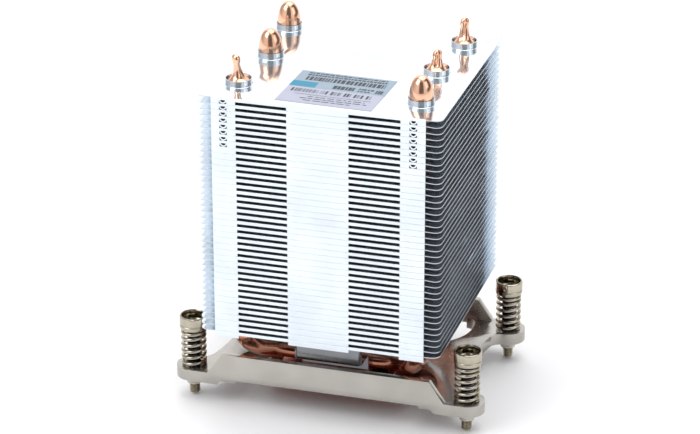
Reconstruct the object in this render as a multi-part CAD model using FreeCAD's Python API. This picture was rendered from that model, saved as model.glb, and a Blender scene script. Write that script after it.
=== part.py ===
"""Passive server CPU heatsink with three heat pipes, forty fins and a sprung four-screw bracket.

Millimetres, +Z up.  The origin is the centre of the screw pattern at the level of the screw tips,
on which the heatsink stands when it is not fitted.  X runs along the bracket walls, Y through them.
"""
import FreeCAD
import Part
import math
import os

V = FreeCAD.Vector
UP = V(0, 0, 1)
ROUNDING = 0.001

ROUND_SIDES = 10
SEAT_SIDES = 3

# ---- screw pattern: the narrow server socket spacing ----
SCREW_PITCH_X = 94.0
SCREW_PITCH_Y = 56.0

# ---- bracket: one die-cast frame ----
FOOT_Z = 7.1
FOOT_THICKNESS = 3.9
FOOT_RADIUS = 5.8
WALL_THICKNESS = 2.4
WALL_BOTTOM_Z = 9.3
WALL_TOP_Z = 18.3
WALL_TOP_HALF = 35.5
OPENING_HALF_X = 35.5
OPENING_CORNER_RADIUS = 4.0
SHOULDER_RUN = 5.0
STEP_RUN = 1.6
WAIST_DEPTH = 6.5
WAIST_RADIUS = 80.0
WAIST_CORNER_RADIUS = 4.0
BRIDGE_HALF_WIDTH = 7.6
BRIDGE_ROOT_RADIUS = 16.9
BRIDGE_TIP_X = 19.5
LUG_X = 18.0
LUG_WIDTH = 5.6
LUG_DEPTH = 1.4
LUG_TOP_Z = 17.3

# ---- captive screws, their springs and collars ----
SHANK_RADIUS = 2.2
SHANK_CLEARANCE = 0.3
THREAD_RADIUS = 1.9
TIP_RADIUS = 0.9
LEAD_RADIUS = 1.7
TIP_HEIGHT = 1.2
HEAD_RADIUS = 4.6
HEAD_BOTTOM_Z = 24.0
HEAD_TOP_Z = 28.9
HEAD_CHAMFER = 0.8
CUP_RADIUS = 3.8
CUP_DEPTH = 3.4
SPRING_RADIUS = 4.15
WIRE = 1.1
SPRING_END_CLEARANCE = 0.02
SPRING_TURNS = 6
SPRING_SIDES = 6
COLLAR_OVERLAP = 0.3
COLLAR_TOE_WALL = 0.35
COLLAR_HEIGHT = 3.0
THREAD_RELIEF = 0.2
THREAD_NECK_RADIUS = 1.7
THREAD_NECK_SIDES = 6
RUNNING_CLEARANCE = 0.05

# ---- base plate and saddle ----
BASE_Z = 5.5
PAD_HALF_X = 26.0
PAD_HALF_Y = 24.0
PAD_CHAMFER = 3.0
BLOCK_HALF_Y = 21.0
LEDGE_TOP_Z = 11.3
BLOCK_TOP_Z = 13.2
SADDLE_HALF_X = 11.5
SADDLE_HALF_Y = 30.0
SADDLE_EDGE = 1.0
SEAT_CLEARANCE = 0.05

# ---- heat pipes ----
PIPE_RADIUS = 3.6
RUN_Z = 15.0
RUN_Y = 14.5
SIDE_LEG_X = 30.2
SIDE_LEG_Y = 26.8
MIDDLE_LEG_X = 28.0
MIDDLE_BEND_RADIUS = 13.0
SLANT_RUN_X = 11.0
SLANT_DROP = 5.2
LEG_BEND_RADIUS = 11.0
RUN_BEND_RADIUS = 13.0
DOME_HEIGHT = 9.4
DOME_PROFILE = [(1.0, 0.25), (0.93, 0.55), (0.68, 0.85), (0.30, 1.0)]
PINCH_HEIGHT = 9.9
SHORT_PINCH_HEIGHT = 8.1
PINCH_SHOULDER = 1.4
NECK_RADIUS = 1.3

# ---- fins ----
FIN_COUNT = 40
FIN_PITCH = 2.1
FIN_THICKNESS = 0.4
FIN_HALF_X = 40.4
FIN_HALF_Y = 40.0
STACK_BOTTOM_Z = 28.35
FLANGE_HALF = 35.4
LIP_HEIGHT = 1.05
WINDOW_INNER_X = 10.2
WINDOW_OUTER_X = 27.1
FIN_COLLAR_HEIGHT = 2.1
FIN_COLLAR_WALL = 0.4

# ---- label ----
LABEL_X = 32.0
LABEL_Y = 27.0
LABEL_THICKNESS = 0.12
LABEL_CENTRE = (1.5, -23.8)
LABEL_TURN = -2.0

# ---- worked out from the above ----
FOOT_TOP_Z = FOOT_Z + FOOT_THICKNESS
SCREW_X = SCREW_PITCH_X / 2
SCREW_Y = SCREW_PITCH_Y / 2
BRACKET_HALF_Y = SCREW_Y + FOOT_RADIUS
WALL_INNER_Y = BRACKET_HALF_Y - WALL_THICKNESS
CORNERS = {
    "front_left": (-SCREW_X, -SCREW_Y),
    "front_right": (SCREW_X, -SCREW_Y),
    "rear_left": (-SCREW_X, SCREW_Y),
    "rear_right": (SCREW_X, SCREW_Y),
}
STACK_TOP_Z = STACK_BOTTOM_Z + FIN_COUNT * FIN_PITCH
LOWEST_PLATE_Z = STACK_BOTTOM_Z + FIN_PITCH - FIN_THICKNESS
SCREW_HOLE_RADIUS = SHANK_RADIUS + SHANK_CLEARANCE
LEGS = [
    (side * x, y)
    for y, x in ((-SIDE_LEG_Y, SIDE_LEG_X), (0, MIDDLE_LEG_X), (SIDE_LEG_Y, SIDE_LEG_X))
    for side in (-1, 1)
]


def near(a, b):
    """Whether two lengths are the same but for rounding."""
    return abs(a - b) < ROUNDING


def block(x0, x1, y0, y1, z0, z1):
    """A box between two corners."""
    return Part.makeBox(x1 - x0, y1 - y0, z1 - z0, V(x0, y0, z0))


def rod(radius, z0, z1, x=0, y=0):
    """An upright cylinder."""
    return Part.makeCylinder(radius, z1 - z0, V(x, y, z0))


def prism(points, direction):
    """A polygon extruded along a vector."""
    return Part.Face(Part.makePolygon(points + points[:1])).extrude(direction)


def chamfered_plate(half_x, half_y, chamfer, z0, z1):
    """A centred rectangular plate with its four upright corners cut off."""
    outline = []
    for sx, sy in ((-1, -1), (1, -1), (1, 1), (-1, 1)):
        along_y = V(sx * half_x, sy * (half_y - chamfer), z0)
        along_x = V(sx * (half_x - chamfer), sy * half_y, z0)
        outline += [along_y, along_x] if sx == sy else [along_x, along_y]
    return prism(outline, V(0, 0, z1 - z0))


def ring(radius, z, x, y, sides=ROUND_SIDES):
    """A many-sided outline in place of a circle, its corners on the radius."""
    angles = [2 * math.pi * (n + 0.5) / sides for n in range(sides)]
    return [V(x + radius * math.cos(a), y + radius * math.sin(a), z) for a in angles]


def around(radius, sides=ROUND_SIDES):
    """The corner radius of a many-sided hole that clears a round of the given radius."""
    return radius / math.cos(math.pi / sides)


def skin(rings, capped=True):
    """A solid of flat faces through equal rings of corners, closed by end caps or on itself."""
    faces = []
    for lower, upper in zip(rings, rings[1:]):
        for n in range(len(lower)):
            a, b, c, d = lower[n - 1], lower[n], upper[n], upper[n - 1]
            flat = abs((b - a).cross(d - a).dot(c - a)) < 1e-6
            pieces = [(a, b, c, d)] if flat else [(a, b, c), (a, c, d)]
            faces += [Part.Face(Part.makePolygon(list(p) + [p[0]])) for p in pieces]
    if capped:
        faces += [Part.Face(Part.makePolygon(r + r[:1])) for r in (rings[0], rings[-1])]
    solid = Part.Solid(Part.makeShell(faces))
    if solid.Volume < 0:
        solid.reverse()
    return solid


def turned(profile, x, y, sides=ROUND_SIDES):
    """A turned piece from (radius, height) pairs; a profile that returns to its start is a tube."""
    tube = profile[0] == profile[-1]
    return skin([ring(r, z, x, y, sides) for r, z in profile], not tube)


def union(first, others):
    """One solid from several, with flush faces merged."""
    return first.fuse(others).removeSplitter()


def bent_path(points, radii, steps):
    """A centre line through the points, each corner taken as a bend of the given radius."""
    line = [points[0]]
    for before, corner, after, radius, count in zip(points, points[1:], points[2:], radii, steps):
        arrive = (corner - before).normalize()
        leave = (after - corner).normalize()
        turn = arrive.getAngle(leave)
        first = corner - arrive * radius * math.tan(turn / 2)
        inward = (leave - arrive * leave.dot(arrive)).normalize()
        for n in range(count + 1):
            angle = turn * n / count
            ahead = arrive * radius * math.sin(angle)
            line.append(first + ahead + inward * radius * (1 - math.cos(angle)))
    line.append(points[-1])
    return line


def swept(section, path):
    """The mitred rings of a section that is pushed along a path."""
    rings = [section]
    for n in range(1, len(path)):
        along = (path[n] - path[n - 1]).normalize()
        ahead = (path[n + 1] - path[n]).normalize() if n + 1 < len(path) else along
        mitre = (along + ahead).normalize()
        reach = along.dot(mitre)
        rings.append([q + along * ((path[n] - q).dot(mitre) / reach) for q in rings[-1]])
    return rings


def pipe_end(rim, profile):
    """Rings that carry a leg's rim on to its closed end, from (radius share, rise) pairs."""
    centre = sum(rim, V()) / len(rim)
    return [[centre + (q - centre) * share + UP * rise for q in rim] for share, rise in profile]


def heat_pipe(path_half, radii, steps, left_end, right_end):
    """A U of tube: half of its route is given, from the left leg's top to the middle."""
    mirrored = [V(-p.x, p.y, p.z) for p in reversed(path_half)]
    path = bent_path(path_half + mirrored, radii + radii[::-1], steps + steps[::-1])
    top = path[0]
    rings = swept(ring(PIPE_RADIUS, top.z, top.x, top.y), path)
    left = pipe_end(rings[0], left_end)
    right = pipe_end(rings[-1], right_end)
    return skin(left[::-1] + rings + right)


def domed_end():
    """A spun-closed, bullet-shaped pipe end, as (radius share, rise) pairs."""
    return [(share, rise * DOME_HEIGHT) for share, rise in DOME_PROFILE]


def pinched_end(height):
    """A shoulder and the narrow crimped filling tube, as (radius share, rise) pairs."""
    neck = NECK_RADIUS / PIPE_RADIUS
    return [
        (1.0, PINCH_SHOULDER),
        (neck, PINCH_SHOULDER + PIPE_RADIUS - NECK_RADIUS),
        (neck, height - NECK_RADIUS / 2),
        (neck / 2, height),
    ]


def side_pipe(side, left_end, right_end):
    """The front or rear pipe: its legs splay out from the base in both directions."""
    knee_z = RUN_Z + SLANT_DROP
    half = [
        V(-SIDE_LEG_X, side * SIDE_LEG_Y, STACK_TOP_Z),
        V(-SIDE_LEG_X, side * SIDE_LEG_Y, knee_z),
        V(-SIDE_LEG_X + SLANT_RUN_X, side * RUN_Y, RUN_Z),
    ]
    return heat_pipe(half, [LEG_BEND_RADIUS, RUN_BEND_RADIUS], [4, 3], left_end, right_end)


def middle_pipe(left_end, right_end):
    """The middle pipe: a plain U in one plane."""
    half = [V(-MIDDLE_LEG_X, 0, STACK_TOP_Z), V(-MIDDLE_LEG_X, 0, RUN_Z)]
    return heat_pipe(half, [MIDDLE_BEND_RADIUS], [5], left_end, right_end)


def fold(side):
    """The turned-down edge of a fin, full height in three strips and a short lip in two windows."""
    edge = side * FIN_HALF_Y
    bottom = -FIN_PITCH
    lip = -LIP_HEIGHT
    outline = [(-FLANGE_HALF, 0), (-FLANGE_HALF, bottom)]
    for left, right in ((-WINDOW_OUTER_X, -WINDOW_INNER_X), (WINDOW_INNER_X, WINDOW_OUTER_X)):
        outline += [(left, bottom), (left, lip), (right, lip), (right, bottom)]
    outline += [(FLANGE_HALF, bottom), (FLANGE_HALF, 0)]
    return prism([V(x, edge, z) for x, z in outline], V(0, -side * FIN_THICKNESS, 0))


def fin_blank():
    """A fin without its pipe holes, its top face at z = 0."""
    plate = block(-FIN_HALF_X, FIN_HALF_X, -FIN_HALF_Y, FIN_HALF_Y, -FIN_THICKNESS, 0)
    return union(plate, [fold(-1), fold(1)])


def inner_fin(blank):
    """A fin inside the stack: flat-sided holes seat each pipe on as many lines as they have sides."""
    corner = around(PIPE_RADIUS + SEAT_CLEARANCE, SEAT_SIDES)
    past = 2 * FIN_THICKNESS
    return blank.cut([turned([(corner, -past), (corner, past)], x, y, SEAT_SIDES) for x, y in LEGS])


def top_fin(blank):
    """The top fin: round holes with drawn collars that stand up around the pipes."""
    bore = PIPE_RADIUS + SEAT_CLEARANCE
    rim = bore + FIN_COLLAR_WALL
    past = 2 * FIN_COLLAR_HEIGHT
    collars = [turned([(rim, 0), (rim, FIN_COLLAR_HEIGHT)], x, y) for x, y in LEGS]
    holes = [turned([(bore, -past), (bore, past)], x, y) for x, y in LEGS]
    return blank.fuse(collars).cut(holes)


def bracket_plan():
    """The flat part of the bracket: four round feet, waisted sides and two bridges to the base."""
    body = block(-SCREW_X, SCREW_X, -BRACKET_HALF_Y, BRACKET_HALF_Y, FOOT_Z, FOOT_TOP_Z)
    body = union(body, [rod(FOOT_RADIUS, FOOT_Z, FOOT_TOP_Z, x, y) for x, y in CORNERS.values()])
    notch_half = SCREW_Y - FOOT_RADIUS
    for side in (-1, 1):
        centre_x = side * (SCREW_X - WAIST_DEPTH + WAIST_RADIUS)
        waist = rod(WAIST_RADIUS, FOOT_Z, FOOT_TOP_Z, centre_x, 0)
        span = block(-2 * SCREW_X, 2 * SCREW_X, -notch_half, notch_half, FOOT_Z, FOOT_TOP_Z)
        body = body.cut(waist.common(span))
    corners = [
        edge
        for edge in body.Edges
        if len(edge.Vertexes) == 2
        and abs(edge.Vertexes[0].Z - edge.Vertexes[1].Z) > 0.5 * FOOT_THICKNESS
        and near(abs(edge.Vertexes[0].Y), notch_half)
        and abs(edge.Vertexes[0].X) < SCREW_X - ROUNDING
    ]
    return body.makeFillet(WAIST_CORNER_RADIUS, corners)


def frame_window():
    """The one large opening of the bracket, with the bridges left standing in it."""
    centre_y = BRIDGE_HALF_WIDTH + BRIDGE_ROOT_RADIUS
    centre_x = OPENING_HALF_X - BRIDGE_ROOT_RADIUS
    window = block(-OPENING_HALF_X, OPENING_HALF_X, -WALL_INNER_Y, WALL_INNER_Y, FOOT_Z, FOOT_TOP_Z)
    upright = [e for e in window.Edges if abs(e.Vertexes[0].Z - e.Vertexes[1].Z) > FOOT_THICKNESS / 2]
    window = window.makeFillet(OPENING_CORNER_RADIUS, upright)
    for side in (-1, 1):
        x0, x1 = sorted((side * BRIDGE_TIP_X, side * OPENING_HALF_X))
        bridge = block(x0, x1, -centre_y, centre_y, FOOT_Z, FOOT_TOP_Z)
        arcs = [
            rod(BRIDGE_ROOT_RADIUS, FOOT_Z, FOOT_TOP_Z, side * centre_x, end * centre_y)
            for end in (-1, 1)
        ]
        window = window.cut(bridge.cut(arcs))
    return window


def bracket_wall(side):
    """A front or rear wall: sloped shoulders above, a raised underside below, two lugs inside."""
    shoulder = WALL_TOP_HALF + SHOULDER_RUN
    step = WALL_TOP_HALF + STEP_RUN
    outline = [
        (-shoulder, FOOT_TOP_Z),
        (-WALL_TOP_HALF, WALL_TOP_Z),
        (WALL_TOP_HALF, WALL_TOP_Z),
        (shoulder, FOOT_TOP_Z),
        (shoulder, FOOT_Z),
        (step, FOOT_Z),
        (WALL_TOP_HALF, WALL_BOTTOM_Z),
        (-WALL_TOP_HALF, WALL_BOTTOM_Z),
        (-step, FOOT_Z),
        (-shoulder, FOOT_Z),
    ]
    face_y = side * BRACKET_HALF_Y
    wall = prism([V(x, face_y, z) for x, z in outline], V(0, -side * WALL_THICKNESS, 0))
    y0, y1 = sorted((side * (WALL_INNER_Y - LUG_DEPTH), side * WALL_INNER_Y))
    lugs = [
        block(x - LUG_WIDTH / 2, x + LUG_WIDTH / 2, y0, y1, WALL_BOTTOM_Z, LUG_TOP_Z)
        for x in (-LUG_X, LUG_X)
    ]
    return [wall] + lugs


def bracket():
    """The cast frame that spreads the four screws' force over the base."""
    step = WALL_TOP_HALF + STEP_RUN
    under = block(-step, step, -BRACKET_HALF_Y, BRACKET_HALF_Y, FOOT_Z, FOOT_TOP_Z)
    strip = block(-step, step, -WALL_INNER_Y, WALL_INNER_Y, FOOT_Z, FOOT_TOP_Z)
    plan = bracket_plan().cut(frame_window()).cut(under.cut(strip))
    body = union(plan, bracket_wall(-1) + bracket_wall(1))
    bore = around(SCREW_HOLE_RADIUS)
    return body.cut([turned([(bore, 0), (bore, HEAD_TOP_Z)], x, y) for x, y in CORNERS.values()])


def pipe_seats():
    """The three bars that cut the grooves for the pipes' runs."""
    radius = around(PIPE_RADIUS + SEAT_CLEARANCE)
    reach = 2 * PAD_HALF_X
    bars = []
    for y in (-RUN_Y, 0, RUN_Y):
        section = [V(-reach, y + q.x, RUN_Z + q.y) for q in ring(radius, 0, 0, 0)]
        bars.append(prism(section, V(2 * reach, 0, 0)))
    return bars


def base_plate():
    """The copper base: a pad under the bridges, a ledge between them and a grooved block."""
    pad = chamfered_plate(PAD_HALF_X, PAD_HALF_Y, PAD_CHAMFER, BASE_Z, FOOT_Z)
    ledge_x = BRIDGE_TIP_X - SEAT_CLEARANCE
    ledge = block(-ledge_x, ledge_x, -BLOCK_HALF_Y, BLOCK_HALF_Y, FOOT_Z, LEDGE_TOP_Z)
    x = SADDLE_HALF_X
    core = block(-x, x, -BLOCK_HALF_Y, BLOCK_HALF_Y, LEDGE_TOP_Z, BLOCK_TOP_Z)
    return union(pad, [ledge, core]).cut(pipe_seats())


def saddle():
    """The aluminium block that clamps the pipes on the base and carries the fins."""
    x = SADDLE_HALF_X
    pipe_top = RUN_Z + PIPE_RADIUS + SEAT_CLEARANCE
    body = chamfered_plate(x, SADDLE_HALF_Y, SADDLE_EDGE, pipe_top, LOWEST_PLATE_Z)
    keel = block(-x, x, -BLOCK_HALF_Y, BLOCK_HALF_Y, BLOCK_TOP_Z, pipe_top)
    return union(body, [keel]).cut(pipe_seats())


def captive_screw(x, y):
    """A cup-headed screw with a plain shank, a neck inside its collar and a thread on a tapered lead."""
    thread_top = FOOT_Z - COLLAR_HEIGHT - THREAD_RELIEF
    neck_ends = [(THREAD_NECK_RADIUS, thread_top), (THREAD_NECK_RADIUS, FOOT_Z)]
    neck = turned(neck_ends, x, y, THREAD_NECK_SIDES)
    thread = rod(THREAD_RADIUS, TIP_HEIGHT, thread_top, x, y)
    tip = turned([(TIP_RADIUS, 0), (LEAD_RADIUS, TIP_HEIGHT)], x, y)
    profile = [
        (SHANK_RADIUS, FOOT_Z),
        (SHANK_RADIUS, HEAD_BOTTOM_Z),
        (HEAD_RADIUS - HEAD_CHAMFER, HEAD_BOTTOM_Z),
        (HEAD_RADIUS, HEAD_BOTTOM_Z + HEAD_CHAMFER),
        (HEAD_RADIUS, HEAD_TOP_Z),
        (CUP_RADIUS, HEAD_TOP_Z),
        (CUP_RADIUS, HEAD_TOP_Z - CUP_DEPTH),
    ]
    return union(turned(profile, x, y), [neck, thread, tip])


def retaining_collar(x, y):
    """The tapered collar under the foot that keeps the screw captive."""
    toe_z = FOOT_Z - COLLAR_HEIGHT
    bore = around(THREAD_RADIUS + RUNNING_CLEARANCE)
    toe = bore + COLLAR_TOE_WALL
    rim = around(SCREW_HOLE_RADIUS) + COLLAR_OVERLAP
    profile = [(bore, toe_z), (toe, toe_z), (rim, FOOT_Z), (bore, FOOT_Z), (bore, toe_z)]
    return turned(profile, x, y)


def screw_spring(x, y):
    """A compression spring between foot and head, its wire squared and its coils faceted."""
    half = WIRE / 2
    first_z = FOOT_TOP_Z + half + SPRING_END_CLEARANCE
    rise = HEAD_BOTTOM_Z - half - SPRING_END_CLEARANCE - first_z
    inner, outer = SPRING_RADIUS - WIRE, SPRING_RADIUS
    steps = SPRING_TURNS * SPRING_SIDES
    sections = []
    for step in range(steps + 1):
        angle = 2 * math.pi * step / SPRING_SIDES
        outward = V(math.cos(angle), math.sin(angle), 0)
        middle = V(x, y, first_z + rise * step / steps)
        square = ((inner, -half), (outer, -half), (outer, half), (inner, half))
        sections.append([middle + outward * r + UP * dz for r, dz in square])
    return skin(sections)


def label():
    """The paper label on the top fin."""
    x, y = LABEL_CENTRE
    sheet = block(-LABEL_X / 2, LABEL_X / 2, -LABEL_Y / 2, LABEL_Y / 2, 0, LABEL_THICKNESS)
    sheet.rotate(V(0, 0, 0), UP, LABEL_TURN)
    sheet.translate(V(x, y, STACK_TOP_Z))
    return sheet


def all_parts():
    """Every node of the heatsink by name."""
    parts = {"base_plate": base_plate(), "saddle": saddle(), "bracket": bracket(), "label": label()}
    parts["heat_pipe_front"] = side_pipe(-1, pinched_end(PINCH_HEIGHT), domed_end())
    parts["heat_pipe_middle"] = middle_pipe(domed_end(), pinched_end(SHORT_PINCH_HEIGHT))
    parts["heat_pipe_rear"] = side_pipe(1, domed_end(), pinched_end(PINCH_HEIGHT))
    blank = fin_blank()
    inner = inner_fin(blank)
    for number in range(1, FIN_COUNT + 1):
        fin = top_fin(blank) if number == FIN_COUNT else inner.copy()
        fin.translate(V(0, 0, STACK_BOTTOM_Z + number * FIN_PITCH))
        parts[f"fin_{number:02d}"] = fin
    for corner, (x, y) in CORNERS.items():
        parts["captive_screw_" + corner] = captive_screw(x, y)
        parts["retaining_collar_" + corner] = retaining_collar(x, y)
        parts["screw_spring_" + corner] = screw_spring(x, y)
    return parts


def main():
    os.makedirs("parts", exist_ok=True)
    for name, shape in all_parts().items():
        shape.exportStep(f"parts/{name}.step")


main()
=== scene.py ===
"""Looks of a passive server CPU heatsink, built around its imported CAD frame.

The scene is in metres, with +Z up and the origin between the screw tips.  Sizes and mesh code are in
millimetres, which make_object turns to metres, and a value in metres is written as millimetres times MM.
"""
import math
import random

import bmesh
import bpy
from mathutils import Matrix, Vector
from mathutils.geometry import delaunay_2d_cdt


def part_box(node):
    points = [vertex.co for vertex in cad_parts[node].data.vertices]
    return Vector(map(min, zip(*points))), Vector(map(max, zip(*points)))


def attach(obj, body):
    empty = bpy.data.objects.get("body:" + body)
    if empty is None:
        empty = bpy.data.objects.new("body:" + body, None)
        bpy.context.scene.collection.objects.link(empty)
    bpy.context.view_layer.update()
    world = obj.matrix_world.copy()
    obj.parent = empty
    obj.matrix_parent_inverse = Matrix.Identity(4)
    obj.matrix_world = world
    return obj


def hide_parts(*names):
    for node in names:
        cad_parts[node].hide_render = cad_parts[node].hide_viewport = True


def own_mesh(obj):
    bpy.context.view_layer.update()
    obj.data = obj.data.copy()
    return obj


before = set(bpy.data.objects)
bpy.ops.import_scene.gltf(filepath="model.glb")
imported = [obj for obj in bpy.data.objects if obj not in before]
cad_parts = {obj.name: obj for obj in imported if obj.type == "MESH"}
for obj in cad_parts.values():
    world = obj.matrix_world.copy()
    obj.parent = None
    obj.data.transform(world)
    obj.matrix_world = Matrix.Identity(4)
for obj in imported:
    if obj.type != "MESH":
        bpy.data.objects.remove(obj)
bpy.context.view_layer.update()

bl_info = {
    "name": "Passive CPU heatsink",
    "version": (1, 0, 0),
    "blender": (4, 5, 0),
    "location": "View3D > Sidebar > Heatsink",
    "description": "Builds the visible pieces of a passive server CPU heatsink on its CAD frame",
    "category": "Add Mesh",
}

MM = 0.001
UP = Vector((0, 0, 1))
ROOT = "heatsink"
CORNERS = ("front_left", "front_right", "rear_left", "rear_right")
FIN_NAMES = sorted(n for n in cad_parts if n.startswith("fin_"))
PIPE_NAMES = ("heat_pipe_front", "heat_pipe_middle", "heat_pipe_rear")

LEVEL_SLACK = 0.1
ROUND_STEPS = 40
ARC_STEPS = 4
BEND_STEPS = 14
THREAD_STEPS = 48
WIRE_STEPS = 14
COIL_STEPS = 40
SHARP_ANGLE = math.radians(32)

# the top fin's own box reaches up to its collars, so its level is one pitch above the fin below it
FIN_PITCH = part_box(FIN_NAMES[1])[1].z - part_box(FIN_NAMES[0])[1].z
FIN_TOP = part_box(FIN_NAMES[-2])[1].z + FIN_PITCH


# ---------------------------------------------------------------- measures taken from the frame


def node_points(node):
    """The corners of a CAD node, in metres."""
    return [v.co.copy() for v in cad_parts[node].data.vertices]


def mean(points):
    """The middle of some points."""
    return sum(points, Vector()) / len(points)


def leg_axis(node, side):
    """Where one leg of a heat pipe passes through the top fin."""
    near = [p for p in node_points(node) if abs(p.z - FIN_TOP) < LEVEL_SLACK * MM and p.x * side > 0]
    return mean(near)


def run_axis(node, reach):
    """The middle of a heat pipe's straight run through the base."""
    centre = mean([p for p in node_points(node) if abs(p.x) < reach])
    centre.x = 0
    return centre


def screw_axis(corner):
    """The axis of one captive screw at the level of its tip."""
    low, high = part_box("captive_screw_" + corner)
    return Vector(((low.x + high.x) / 2, (low.y + high.y) / 2, low.z))


# ---------------------------------------------------------------- colours and sizes that a user may change


UNDER_FIN_SHADE_SPAN = (26.0, 44.0)  # heights between which the pipes pass from painted shade under the fin stack to their plain copper colour


def linear(code):
    """An sRGB hex colour as linear red, green and blue."""
    channels = [int(code[i : i + 2], 16) / 255 for i in (0, 2, 4)]
    return tuple(c / 12.92 if c <= 0.04045 else ((c + 0.055) / 1.055) ** 2.4 for c in channels)


def length(name, description, default):
    """A length that shows in the sidebar."""
    return bpy.props.FloatProperty(
        name=name, description=description, default=default, min=0, unit="LENGTH", precision=5
    )


def colour(name, description, code):
    """A colour that shows in the sidebar."""
    return bpy.props.FloatVectorProperty(
        name=name, description=description, default=linear(code), subtype="COLOR", min=0, max=1
    )


class HeatsinkSizes(bpy.types.PropertyGroup):
    """Sizes of the details that the CAD frame leaves to the looks."""

    sheet: length("Fin sheet", "Thickness of the fin sheet", 0.27 * MM)
    fold_radius: length("Fold radius", "Outer radius of the fins' turned-down edges", 0.2 * MM)
    ear_radius: length("Ear radius", "Corner radius of the fins in plan", 2.2 * MM)
    ripple: length("Ripple", "How far a fin's edge wanders up or down", 0.035 * MM)
    dip: length("Ear dip", "How far a fin's ears drop past the end of the fold", 0.24 * MM)
    collar_radius: length("Collar radius", "Outer radius of the collars on the top fin", 4.36 * MM)
    pipe_radius: length("Pipe radius", "Radius of the heat pipes", 3.62 * MM)
    wire: length("Spring wire", "Diameter of the spring wire", 1.2 * MM)
    spring_radius: length("Spring radius", "Outer radius of the springs", 4.3 * MM)
    thread_pitch: length("Thread pitch", "Pitch of the screw threads", 0.8 * MM)
    casting_edge: length("Casting edge", "Rounding of the bracket's edges", 0.4 * MM)
    block_edge: length("Block edge", "Rounding of the base and saddle edges", 0.25 * MM)


class HeatsinkColours(bpy.types.PropertyGroup):
    """Colours of the metals and of the label."""

    sheet: colour("Fin sheet", "Rolled aluminium", "E2EAF1")
    cut: colour("Cut edges", "Sheared aluminium", "C8CDD5")
    pipe: colour("Heat pipe", "Drawn copper", "F9C5A6")
    # painted shade: darker copper for the pipes below the fin stack, standing in for the shade there
    heated: colour("Heated copper", "Copper darkened by brazing near the base", "CC8D75")
    base: colour("Base plate", "Milled copper", "A86650")
    block: colour("Saddle", "Extruded aluminium", "8B8D91")
    casting: colour("Bracket", "Die-cast zinc", "B3AFA8")
    # painted highlight: a pale colour on the bracket's rounded edges that stands in for light catching them
    edge_highlight: colour("Bracket edges", "Zinc rubbed pale along the edges", "F2EADC")
    plating: colour("Screws and springs", "Nickel plate", "B3AC9B")
    # partly painted shade: the shank inside the spring is painted near black, partly its own dark steel and
    # partly the shade inside the spring
    shank: colour("Screw shanks", "Blackened steel", "4A4450")
    collar: colour("Retaining collars", "Turned steel", "BDB7AD")
    label_top: colour("Label, rear half", "Ink behind the headings", "93A4B3")
    label_low: colour("Label, front half", "Bare label stock", "AFB3C4")
    label_block: colour("Label block", "Printed teal block", "2387A6")
    ink: colour("Ink", "Printed marks", "2A3038")


def sizes():
    """The sizes in the sidebar."""
    return bpy.context.scene.heatsink_sizes


def colours():
    """The colours in the sidebar."""
    return bpy.context.scene.heatsink_colours


# ---------------------------------------------------------------- materials


def add(tree, kind, inputs=(), **settings):
    """Adds a node, sets its settings, and sets or links its inputs."""
    node = tree.nodes.new(kind)
    for name, value in settings.items():
        setattr(node, name, value)
    for key, value in dict(inputs).items():
        if isinstance(value, bpy.types.NodeSocket):
            tree.links.new(value, node.inputs[key])
        else:
            node.inputs[key].default_value = value
    return node


def per(size_mm):
    """The texture scale at which one feature is that many millimetres."""
    return 1 / (size_mm * MM)


def shade(base, share):
    """A colour made darker or lighter by a share."""
    return tuple(min(1.0, c * share) for c in base)


NOISE_SPAN = (0.3, 0.7)  # the middle of a noise's range, which nearly all of it fills
NOISE_DETAIL = 3.0
EVEN = (1, 1, 1)
SHADES = (0.9, 1.04)  # a metal's darkest and lightest clouds, as shares of its colour


def finish(
    name, base, rough, clouds_mm, marks_mm, depth_mm, stretch=EVEN, shades=SHADES, heated=None, **surface
):
    """A material: soft clouds shade its colour, and finer marks set its gloss and its relief.

    rough is the span of the roughness, and stretch draws the marks out along the way the stuff was worked.
    The shade colour, when given, is painted shade: below the span of heights set for it the colour turns to
    it, and surface sets the shader's own sockets.
    """
    material = bpy.data.materials.new(name)
    material.use_nodes = True
    tree = material.node_tree
    tree.nodes.clear()
    least, most = NOISE_SPAN
    place = add(tree, "ShaderNodeTexCoord").outputs["Object"]

    values = {"Vector": place, "Scale": per(clouds_mm), "Detail": NOISE_DETAIL}
    clouds = add(tree, "ShaderNodeTexNoise", values).outputs["Fac"]
    values = {"Value": clouds, "From Min": least, "From Max": most}
    tone = add(tree, "ShaderNodeMapRange", values).outputs[0]
    values = {"Factor": tone, "A": (*shade(base, shades[0]), 1), "B": (*shade(base, shades[1]), 1)}
    cover = add(tree, "ShaderNodeMix", values, data_type="RGBA").outputs["Result"]
    # painted shade: below a span of heights the colour turns darker, standing in for the shade under the fin
    # stack
    if heated:
        height = add(tree, "ShaderNodeSeparateXYZ", {"Vector": place}).outputs[2]
        values = {"Value": height, "From Min": UNDER_FIN_SHADE_SPAN[0] * MM, "From Max": UNDER_FIN_SHADE_SPAN[1] * MM}
        share = add(tree, "ShaderNodeMapRange", values).outputs[0]
        values = {"Factor": share, "A": (*heated, 1), "B": cover}
        cover = add(tree, "ShaderNodeMix", values, data_type="RGBA").outputs["Result"]

    along = add(tree, "ShaderNodeMapping", {"Vector": place, "Scale": stretch}).outputs[0]
    values = {"Vector": along, "Scale": per(marks_mm), "Detail": NOISE_DETAIL}
    marks = add(tree, "ShaderNodeTexNoise", values).outputs["Fac"]
    values = {"Value": marks, "From Min": least, "From Max": most, "To Min": rough[0], "To Max": rough[1]}
    gloss = add(tree, "ShaderNodeMapRange", values).outputs[0]
    relief = add(tree, "ShaderNodeBump", {"Height": marks, "Distance": depth_mm * MM}).outputs[0]

    values = {"Base Color": cover, "Roughness": gloss, "Normal": relief}
    values.update({socket.replace("_", " "): value for socket, value in surface.items()})
    shader = add(tree, "ShaderNodeBsdfPrincipled", values).outputs[0]
    add(tree, "ShaderNodeOutputMaterial", {"Surface": shader})
    return material


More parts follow.
